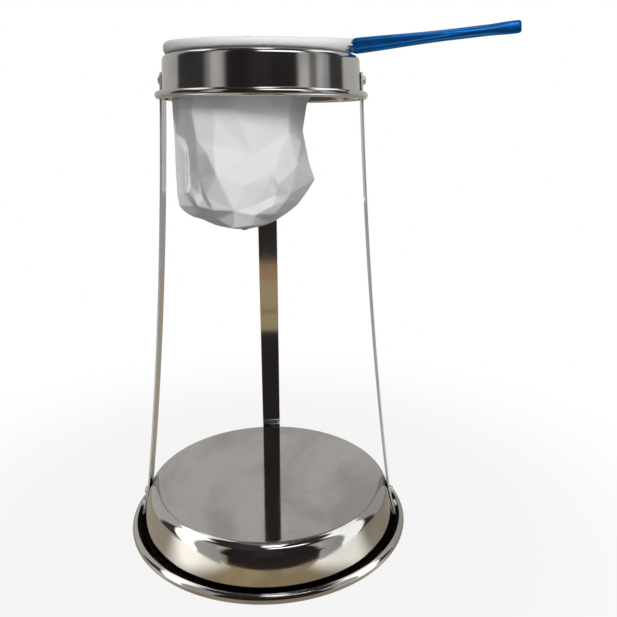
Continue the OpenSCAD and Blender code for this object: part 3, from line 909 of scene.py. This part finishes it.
def outline_at(depth):
    """The bag's reach to the left and to the right at a depth."""
    for low, high in zip(BAG_OUTLINE, BAG_OUTLINE[1:]):
        if depth <= high[0]:
            t = (depth - low[0]) / (high[0] - low[0])
            return [a + (b - a) * t for a, b in zip(low[1:], high[1:])]
    return list(BAG_OUTLINE[-1][1:])


class Relief:
    """One side of the bag as flat facets between its creases."""

    def __init__(self, knots, creases, front):
        names = list(knots)
        points = [Vector(knots[name][:2]) for name in names]
        heights = [knots[name][2] for name in names]
        lines = [(names.index(a), names.index(b)) for a, b in creases]
        first = len(points)
        for depth, left, right in BAG_OUTLINE:
            pull = smooth_step(depth, 2, 30) * (1 - smooth_step(depth, 98, 118))
            points += [Vector((-left, depth)), Vector((right, depth))]
            heights += [LEFT_EDGE * pull * (1 if front else -1), 0.0]
        lines += [(i, i + 2) for i in range(first, len(points) - 2)]
        rim = BAG_OUTLINE[0][1]
        for turn in range(30, 180, 30):
            points.append(Vector((math.cos(math.radians(turn)) * rim, 0)))
            heights.append(math.sin(math.radians(turn)) * rim)
        spots, _, self.faces, origins, _, _ = geometry.delaunay_2d_cdt(
            points, lines, [], 0, 1e-5)
        heights = [heights[o[0]] if o else 0.0 for o in origins]
        self.flat = [Vector((p.x, p.y, 0)) for p in spots]
        self.raised = [Vector((p.x, p.y, h)) for p, h in zip(spots, heights)]
        self.tree = BVHTree.FromPolygons(self.flat, self.faces)

    def height(self, x, depth):
        """How far the cloth stands out at a point, in millimetres."""
        spot, _, index, _ = self.tree.find_nearest(Vector((x, depth, 0)))
        flat = [self.flat[i] for i in self.faces[index]]
        raised = [self.raised[i] for i in self.faces[index]]
        return geometry.barycentric_transform(spot, *flat, *raised).z


def crumple(point, seed):
    """Small flat facets between random creases, from about -1 to 1."""
    cell = point / 15.0 + Vector((seed, seed * 0.37, 0))
    near, places = noise.voronoi(cell)
    tilt = noise.noise_vector(places[0] * 3.1)
    return (cell - places[0]).dot(tilt) * 1.6 + (near[1] - near[0]) * 0.35


# The share of the bag's columns that its rear takes
REAR_SHARE = 0.36


def bag_turn(across):
    """How far round the bag a column stands: the front has the closer columns."""
    if across < REAR_SHARE:
        return math.pi * across / REAR_SHARE
    return math.pi * (1 + (across - REAR_SHARE) / (1 - REAR_SHARE))


class STAND_OT_bag(bpy.types.Operator):
    """Loft, fold and crumple the cotton bag"""
    bl_idname = "filter_stand.bag"
    bl_label = "Bag"

    def execute(self, context):
        sizes = context.scene.stand_filter
        colours = context.scene.stand_colours
        bm, uv = sheet_grid(300, 156)
        for face in bm.faces:
            for loop in face.loops:
                u, v = loop[uv].uv
                loop[uv].uv = (bag_turn(u) * sizes.hoop, (1 - v) * 170 * MM)
        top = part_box("filter_bag")[1].z
        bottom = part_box("filter_bag")[0].z
        sides = {-1: Relief(FRONT_KNOTS, FRONT_CREASES, True),
                 1: Relief(REAR_KNOTS, REAR_CREASES, False)}
        for vert in bm.verts:
            turn = bag_turn(vert.co.x + 0.5)
            vert.co = bag_point(sizes, sides, turn, 0.5 - vert.co.y, top, bottom)
        bmesh.ops.remove_doubles(bm, verts=bm.verts[:], dist=0.05 * MM)
        for _ in range(2):
            bmesh.ops.smooth_vert(bm, verts=[v for v in bm.verts if not v.is_boundary],
                                  factor=0.5, use_axis_x=True, use_axis_y=True, use_axis_z=True)
        bmesh.ops.recalc_face_normals(bm, faces=bm.faces[:])
        cotton = cotton_cloth("bag cotton", colours.cotton)
        bag = finished(bm, "bag", cotton, "filter", "cotton", "filter_bag")
        wall = bag.modifiers.new("cloth", "SOLIDIFY")
        wall.thickness = sizes.cloth
        wall.offset = -1
        return {"FINISHED"}


def bag_point(sizes, sides, turn, along, top, bottom):
    """A point of the bag, turn round it and along from its top edge to its lowest point."""
    deepest = BAG_OUTLINE[-1][0]
    depth = deepest * (along * 0.75 + math.sin(along * math.pi / 2) * 0.25)
    left, right = outline_at(depth)
    closing = 1 - smooth_step(along, 0.985, 1.0)
    c = math.cos(turn)
    x = (right - left) / 2 + (right + left) / 2 * c * closing
    side = 1 if turn < math.pi else -1
    rim = BAG_OUTLINE[0][1]
    height = sides[side].height(x, depth)
    round_rim = math.sqrt(max(0.0, rim * rim - x * x))
    height += (round_rim - height) * (1 - smooth_step(depth, 1, 12))
    rough = crumple(Vector((x, side * height, depth)), sizes.bag_seed)
    height += rough * 0.3 * min(1, depth / 12) * smooth_step(1 - abs(c), 0, 0.1) * closing
    return Vector((x * MM, side * height * MM, max(top - depth * MM, bottom)))


# Handle

def handle_shape(sizes, x, length):
    """Width, height, waist and squareness of the handle at a distance from its mouth."""
    crimp_end = 66 * MM
    opened = smooth_step(x, 0, crimp_end)
    flat = smooth_step(x, length - 22 * MM, length - 5 * MM)
    mouth = smooth_step(x, 0, 6 * MM)
    width = 5 * MM + (sizes.tube - 5 * MM) * opened + (3.4 * MM - sizes.tube) * flat
    crimped = (6.4 + 3.8 * mouth) * MM
    height = crimped + (sizes.tube - crimped) * opened + (8 * MM - sizes.tube) * flat
    waist = 0.75 * (1 - smooth_step(x, crimp_end * 0.35, crimp_end * 1.2))
    square = 1 - 0.12 * max(1 - opened, flat)
    return width, height, waist, square


class STAND_OT_handle(bpy.types.Operator):
    """Draw the handle's tube, crimp it over the wires and flatten its tip"""
    bl_idname = "filter_stand.handle"
    bl_label = "Handle"

    def execute(self, context):
        sizes = context.scene.stand_filter
        colours = context.scene.stand_colours
        round_l = 2.4 * MM
        length = sizes.handle + sizes.tuck
        stations = [length * i / 60 for i in range(1, 60)]
        stations += [length - round_l * k for k in (0.75, 0.5, 0.3, 0.15, 0.05)]
        stations += [0.15 * MM, 0.5 * MM, 1.0 * MM]
        bm = bmesh.new()
        place = Matrix.Translation((length / 2, 0, 0)) @ Matrix.Rotation(math.pi / 2, 4, "Y")
        bmesh.ops.create_cone(bm, cap_ends=True, segments=64, radius1=1, radius2=1,
                              depth=length, matrix=place)
        for x in sorted(stations):
            bmesh.ops.bisect_plane(bm, geom=bm.verts[:] + bm.edges[:] + bm.faces[:],
                                   plane_co=(x, 0, 0), plane_no=(1, 0, 0))
        start = 64.9 * MM - sizes.tuck
        lay = (hoop_frame(sizes) @ Matrix.Translation((start, 0, 5.6 * MM))
               @ Matrix.Rotation(-sizes.handle_rise, 4, "Y"))
        for vert in bm.verts:
            vert.co = lay @ handle_point(sizes, vert.co, length, round_l)
        bmesh.ops.recalc_face_normals(bm, faces=bm.faces[:])
        blue = anodised_blue(colours.blue)
        finished(bm, "handle", blue, "filter", "blue_aluminium", "filter_handle")
        return {"FINISHED"}


def handle_point(sizes, point, length, round_l):
    """Moves a point of a straight unit tube to the handle's section there."""
    width, height, waist, square = handle_shape(sizes, point.x, length)
    over = max(0.0, (point.x - (length - round_l)) / round_l)
    end = math.sqrt(max(0.0, 1 - over * over))
    mouth = 0.8 + 0.2 * smooth_step(point.x, 0, 1.2 * MM)
    angle = math.atan2(point.z, point.y)
    c = math.cos(angle)
    s = math.sin(angle)
    lobes = math.sqrt(max(0.0, 1 - (2 * abs(s) - 1) ** 2))
    half = (1 - waist) * abs(c) ** square + waist * lobes
    y = width / 2 * math.copysign(half, c)
    z = height / 2 * math.copysign(abs(s) ** square, s)
    return Vector((point.x, y * mouth * (0.35 + 0.65 * end), z * mouth * (0.62 + 0.38 * end)))


# Studio

# The room that the polished metal mirrors, in zones from the rear round by the
# left, the front and the right: where each zone ends, in degrees to the right of
# the front, and its shade. The low row is at table height, the high row above it
ROOM_LOW = (
    (-103, (0.54, 0.53, 0.515)), (-61, (0.055, 0.052, 0.052)), (-54, (0.30, 0.295, 0.29)),
    (-42, (0.70, 0.69, 0.67)), (-37, (0.50, 0.49, 0.48)), (-10, (0.028, 0.023, 0.025)),
    (14, (0.045, 0.034, 0.036)), (44, (0.028, 0.023, 0.025)), (57, (0.60, 0.585, 0.57)),
    (67, (0.20, 0.195, 0.19)), (76, (0.54, 0.56, 0.59)), (84, (0.36, 0.37, 0.39)),
    (107, (0.055, 0.052, 0.052)), (180, (0.54, 0.53, 0.515)),
)
ROOM_HIGH = (
    (-159, (0.20, 0.195, 0.19)), (-79, (1.8, 1.81, 1.83)), (79, (0.045, 0.043, 0.043)),
    (152, (1.8, 1.81, 1.83)), (180, (0.20, 0.195, 0.19)),
)
ROOM_TOP = (0.045, 0.042, 0.040)
ROOM_RADIUS = 2.2

# Curved cards near the stand: name, where the low edge and the high edge stand in
# degrees to the right of the front, their heights, their distances from the axis,
# shade, strength and softness
CARDS = (
    ("left_window", (-57, -44), (-94, -54), (0.0005, 0.22), (0.195, 0.195),
     (0.98, 0.99, 1.0), 1.9, 0.15),
    ("left_wall", (-47, -25), (-58, -39), (0.0005, 0.20), (0.200, 0.200),
     (0.98, 0.97, 0.95), 0.50, 0.15),
    ("right_wall", (33, 54), (45, 64), (0.0005, 0.20), (0.200, 0.200),
     (0.98, 0.97, 0.95), 0.50, 0.15),
    ("right_window", (51, 66), (60, 102), (0.0005, 0.22), (0.195, 0.195),
     (0.98, 0.99, 1.0), 1.9, 0.15),
    ("low_board", (-25, 37), (-25, 37), (0.0005, 0.03), (0.212, 0.150),
     (0.028, 0.023, 0.022), 1.0, 0.05),
    ("handle_glow", (-4, 52), (-4, 52), (0.450, 0.60), (0.300, 0.300),
     (0.92, 0.97, 1.0), 3.0, 0.2),
)
# Level cards: name, corners, height, shade, strength and softness
SHINES = (
    ("table", (-0.9, -0.42), (0.9, 0.8), 0.0002, (0.40, 0.345, 0.28), 1.0, 0.0),
    ("rear_floor", (-2.1, 0.8), (2.1, 2.1), 0.0002, (0.38, 0.36, 0.34), 1.0, 0.0),
    ("left_floor", (-2.1, -0.42), (-0.9, 0.8), 0.0002, (0.38, 0.36, 0.34), 1.0, 0.0),
    ("right_floor", (0.9, -0.42), (2.1, 0.8), 0.0002, (0.38, 0.36, 0.34), 1.0, 0.0),
    ("left_glow", (-0.21, -0.19), (-0.06, -0.06), 0.0008, (0.98, 0.95, 0.88), 1.6, 0.35),
    ("right_glow", (0.07, -0.17), (0.21, -0.05), 0.0008, (0.98, 0.95, 0.88), 1.6, 0.35),
    ("warm_patch", (-0.15, -0.33), (0.15, -0.105), 0.0006, (0.44, 0.34, 0.20), 1.0, 0.12),
    ("red_patch", (-0.15, -0.41), (0.15, -0.31), 0.0005, (0.42, 0.25, 0.15), 1.0, 0.06),
    ("front_floor", (-2.1, -2.1), (2.1, -0.42), 0.0002, (0.03, 0.026, 0.024), 1.0, 0.0),
    ("ceiling_lamp", (-0.16, -0.5), (0.28, 0.8), 1.95, (1.0, 1.0, 1.0), 2.6, 0.25),
)


def room_stops(zones):
    """Places along the room and their shades, with soft borders between the zones."""
    stops = []
    start = -180
    soft = 2.2
    for end, shade in zones:
        stops.append(((start + soft + 180) / 360, shade))
        stops.append(((end - soft + 180) / 360, shade))
        start = end
    return stops


def room_material():
    """Glows with the room's zones, mixed by height."""
    finish = Finish("room")
    x, y, z = finish.parts(finish.place())
    turn = x.maths("ARCTAN2", x, 0.0 - y) / math.tau + 0.5
    low = finish.add("ShaderNodeValToRGB", {"stops": room_stops(ROOM_LOW)}, (turn,))
    high = finish.add("ShaderNodeValToRGB", {"stops": room_stops(ROOM_HIGH)}, (turn,))
    rise = z / ROOM_RADIUS
    lower = finish.mix(rise.between(0.69, 0.73), low, high)
    shade = finish.mix(rise.between(0.85, 0.89), lower, ROOM_TOP)
    glow = finish.add("ShaderNodeEmission", None, {"Color": shade, "Strength": 1.0})
    return finish.show(glow)


def add_room():
    bm = bmesh.new()
    bmesh.ops.create_icosphere(bm, subdivisions=6, radius=ROOM_RADIUS)
    piece = staged(bm, "room", room_material())
    piece.location.z = 0.2
    glossy_only(piece)


def card_material(name, colour, strength, soft):
    """Glows, and fades out towards the card's edges over the share soft of its width."""
    finish = Finish(name)
    glow = finish.add("ShaderNodeEmission", None, {"Color": tuple(colour), "Strength": strength})
    if soft == 0:
        return finish.show(glow)
    u, v, _ = finish.parts(finish.place(source="UV"))
    mask = u.between(0.0, soft) * (1.0 - u).between(0.0, soft) * (1.0 - v).between(0.0, soft)
    clear = finish.add("ShaderNodeBsdfTransparent")
    return finish.show(finish.add("ShaderNodeMixShader", None, {0: mask, 1: clear, 2: glow}))


def staged(bm, name, material):
    mesh = bpy.data.meshes.new(name)
    bm.to_mesh(mesh)
    bm.free()
    mesh.materials.append(material)
    piece = bpy.data.objects.new(name, mesh)
    bpy.context.scene.collection.objects.link(piece)
    return piece


def glossy_only(piece):
    piece.visible_camera = False
    piece.visible_diffuse = False
    piece.visible_shadow = False
    piece.visible_transmission = False
    piece.visible_volume_scatter = False


def between(pair, t):
    return pair[0] + (pair[1] - pair[0]) * t


def add_card(name, low, high, height, distance, colour, strength, soft):
    """A curved card, upright or leaning, that only shines in the metal."""
    bm, _ = sheet_grid(24, 12)
    for vert in bm.verts:
        across = vert.co.x + 0.5
        up = vert.co.y + 0.5
        turn = math.radians(between((between(low, across), between(high, across)), up))
        reach = between(distance, up)
        vert.co = (math.sin(turn) * reach, -math.cos(turn) * reach, between(height, up))
    glossy_only(staged(bm, name, card_material(name, colour, strength, soft)))


def add_shine(name, low, high, z, colour, strength, soft):
    """A level card from one corner to the other that only shines in the metal."""
    bm, _ = sheet_grid(1, 1)
    middle = Matrix.Translation(((low[0] + high[0]) / 2, (low[1] + high[1]) / 2, z))
    scale = Matrix.Diagonal((high[0] - low[0], high[1] - low[1], 1, 1))
    bmesh.ops.transform(bm, matrix=middle @ scale, verts=bm.verts[:])
    glossy_only(staged(bm, name, card_material(name, colour, strength, soft)))


def add_lamp(name, place, target, size, power):
    lamp = bpy.data.lights.new(name, "AREA")
    lamp.shape = "RECTANGLE"
    lamp.size, lamp.size_y = size
    lamp.energy = power
    holder = bpy.data.objects.new(name, lamp)
    bpy.context.scene.collection.objects.link(holder)
    holder.location = place
    aim = Vector(target) - Vector(place)
    holder.rotation_euler = aim.to_track_quat("-Z", "Y").to_euler()
    holder.visible_glossy = False


def background_share(finish):
    """1 for rays from the camera, a mirror or a clear piece, and 0 for the rest."""
    path = finish.add("ShaderNodeLightPath")
    outputs = path.out.node.outputs
    camera, glossy, clear = (Socket(finish, outputs[name]) for name in (
        "Is Camera Ray", "Is Glossy Ray", "Is Transmission Ray"))
    return camera.maths("MAXIMUM", camera.maths("MAXIMUM", camera, glossy), clear)


class WorldFinish(Finish):
    """The world's nodes."""

    def __init__(self, world):
        world.use_nodes = True
        self.tree = world.node_tree
        self.shader = self.tree.nodes["Background"]


def make_world(daylight):
    world = bpy.data.worlds.new("studio")
    bpy.context.scene.world = world
    finish = WorldFinish(world)
    share = background_share(finish)
    finish.put(finish.shader.inputs["Color"], (1.0, 1.0, 1.0))
    finish.put(finish.shader.inputs["Strength"], share * (1 - daylight) + daylight)


def floor_material():
    """A pale floor that is white to the camera and keeps the shadow near the stand."""
    finish = Finish("floor", Roughness=0.9)
    finish.put(finish.shader.inputs["Base Color"], (0.28, 0.275, 0.27))
    finish.put(finish.shader.inputs["Specular IOR Level"], 0.0)
    white = finish.add("ShaderNodeEmission", None, {"Strength": 1.0})
    x, y, _ = finish.parts(finish.place())
    away = (x * x + y * y).root().between(0.16, 0.42)
    share = background_share(finish) * (0.89 + away * 0.11)
    blended = finish.add("ShaderNodeMixShader", None, {0: share})
    node = blended.out.node
    finish.tree.links.new(finish.shader.outputs[0], node.inputs[1])
    finish.tree.links.new(white.out, node.inputs[2])
    return finish.show(blended)


class STAND_OT_studio(bpy.types.Operator):
    """Set up the floor, cards, lamps, world and camera"""
    bl_idname = "filter_stand.studio"
    bl_label = "Studio"

    def execute(self, context):
        studio = context.scene.stand_studio
        bm = bmesh.new()
        bmesh.ops.create_circle(bm, cap_ends=True, segments=96, radius=3.0)
        staged(bm, "floor", floor_material())
        add_room()
        for card in CARDS:
            add_card(*card)
        for card in SHINES:
            add_shine(*card)
        add_lamp("key", (0.15, -1.5, 1.1), (0, 0, 0.28), (0.5, 0.5), 13.5)
        add_lamp("right_soft", (1.1, -1.1, 0.8), (0, 0, 0.28), (0.5, 0.5), 6)
        add_lamp("front_soft", (-0.1, -1.6, 0.20), (0, 0, 0.27), (0.8, 0.5), 2.4)
        add_lamp("left_soft", (-1.5, -0.1, 0.6), (0, 0, 0.25), (0.4, 0.6), 0.8)
        add_lamp("top_soft", (0.2, -0.1, 1.8), (0, 0, 0.2), (0.6, 0.6), 4)
        make_world(studio.daylight)
        self.make_camera(context, studio)
        context.scene.view_settings.view_transform = "Standard"
        return {"FINISHED"}

    def make_camera(self, context, studio):
        lens = bpy.data.cameras.new("camera")
        lens.lens = studio.lens
        lens.sensor_width = 36.0
        lens.clip_start = 0.01
        camera = bpy.data.objects.new("camera", lens)
        context.scene.collection.objects.link(camera)
        camera.location = studio.camera_place
        camera.rotation_euler = (math.pi / 2 - studio.camera_pitch, 0, 0)
        context.scene.camera = camera


class STAND_PT_panel(bpy.types.Panel):
    """Lists the steps that build the stand"""
    bl_idname = "STAND_PT_panel"
    bl_label = "Filter stand"
    bl_space_type = "VIEW_3D"
    bl_region_type = "UI"
    bl_category = "Filter stand"

    def draw(self, context):
        for operator in OPERATORS:
            self.layout.operator(operator.bl_idname)


OPERATORS = (
    STAND_OT_dish, STAND_OT_ring, STAND_OT_strips, STAND_OT_fixings, STAND_OT_hem,
    STAND_OT_bag, STAND_OT_handle, STAND_OT_studio,
)
GROUPS = {
    "stand_pressed": PressedSizes,
    "stand_strips": StripSizes,
    "stand_filter": FilterSizes,
    "stand_colours": FinishColours,
    "stand_studio": StudioSizes,
}


def register():
    for group in GROUPS.values():
        bpy.utils.register_class(group)
    for cls in OPERATORS + (STAND_PT_panel,):
        bpy.utils.register_class(cls)
    for name, group in GROUPS.items():
        setattr(bpy.types.Scene, name, bpy.props.PointerProperty(type=group))


def unregister():
    for name in GROUPS:
        delattr(bpy.types.Scene, name)
    for cls in reversed(OPERATORS + (STAND_PT_panel,)):
        bpy.utils.unregister_class(cls)
    for group in reversed(GROUPS.values()):
        bpy.utils.unregister_class(group)


def main():
    register()
    bpy.ops.filter_stand.dish()
    bpy.ops.filter_stand.ring()
    bpy.ops.filter_stand.strips()
    bpy.ops.filter_stand.fixings()
    bpy.ops.filter_stand.hem()
    bpy.ops.filter_stand.bag()
    bpy.ops.filter_stand.handle()
    bpy.ops.filter_stand.studio()


if __name__ == "__main__":
    main()
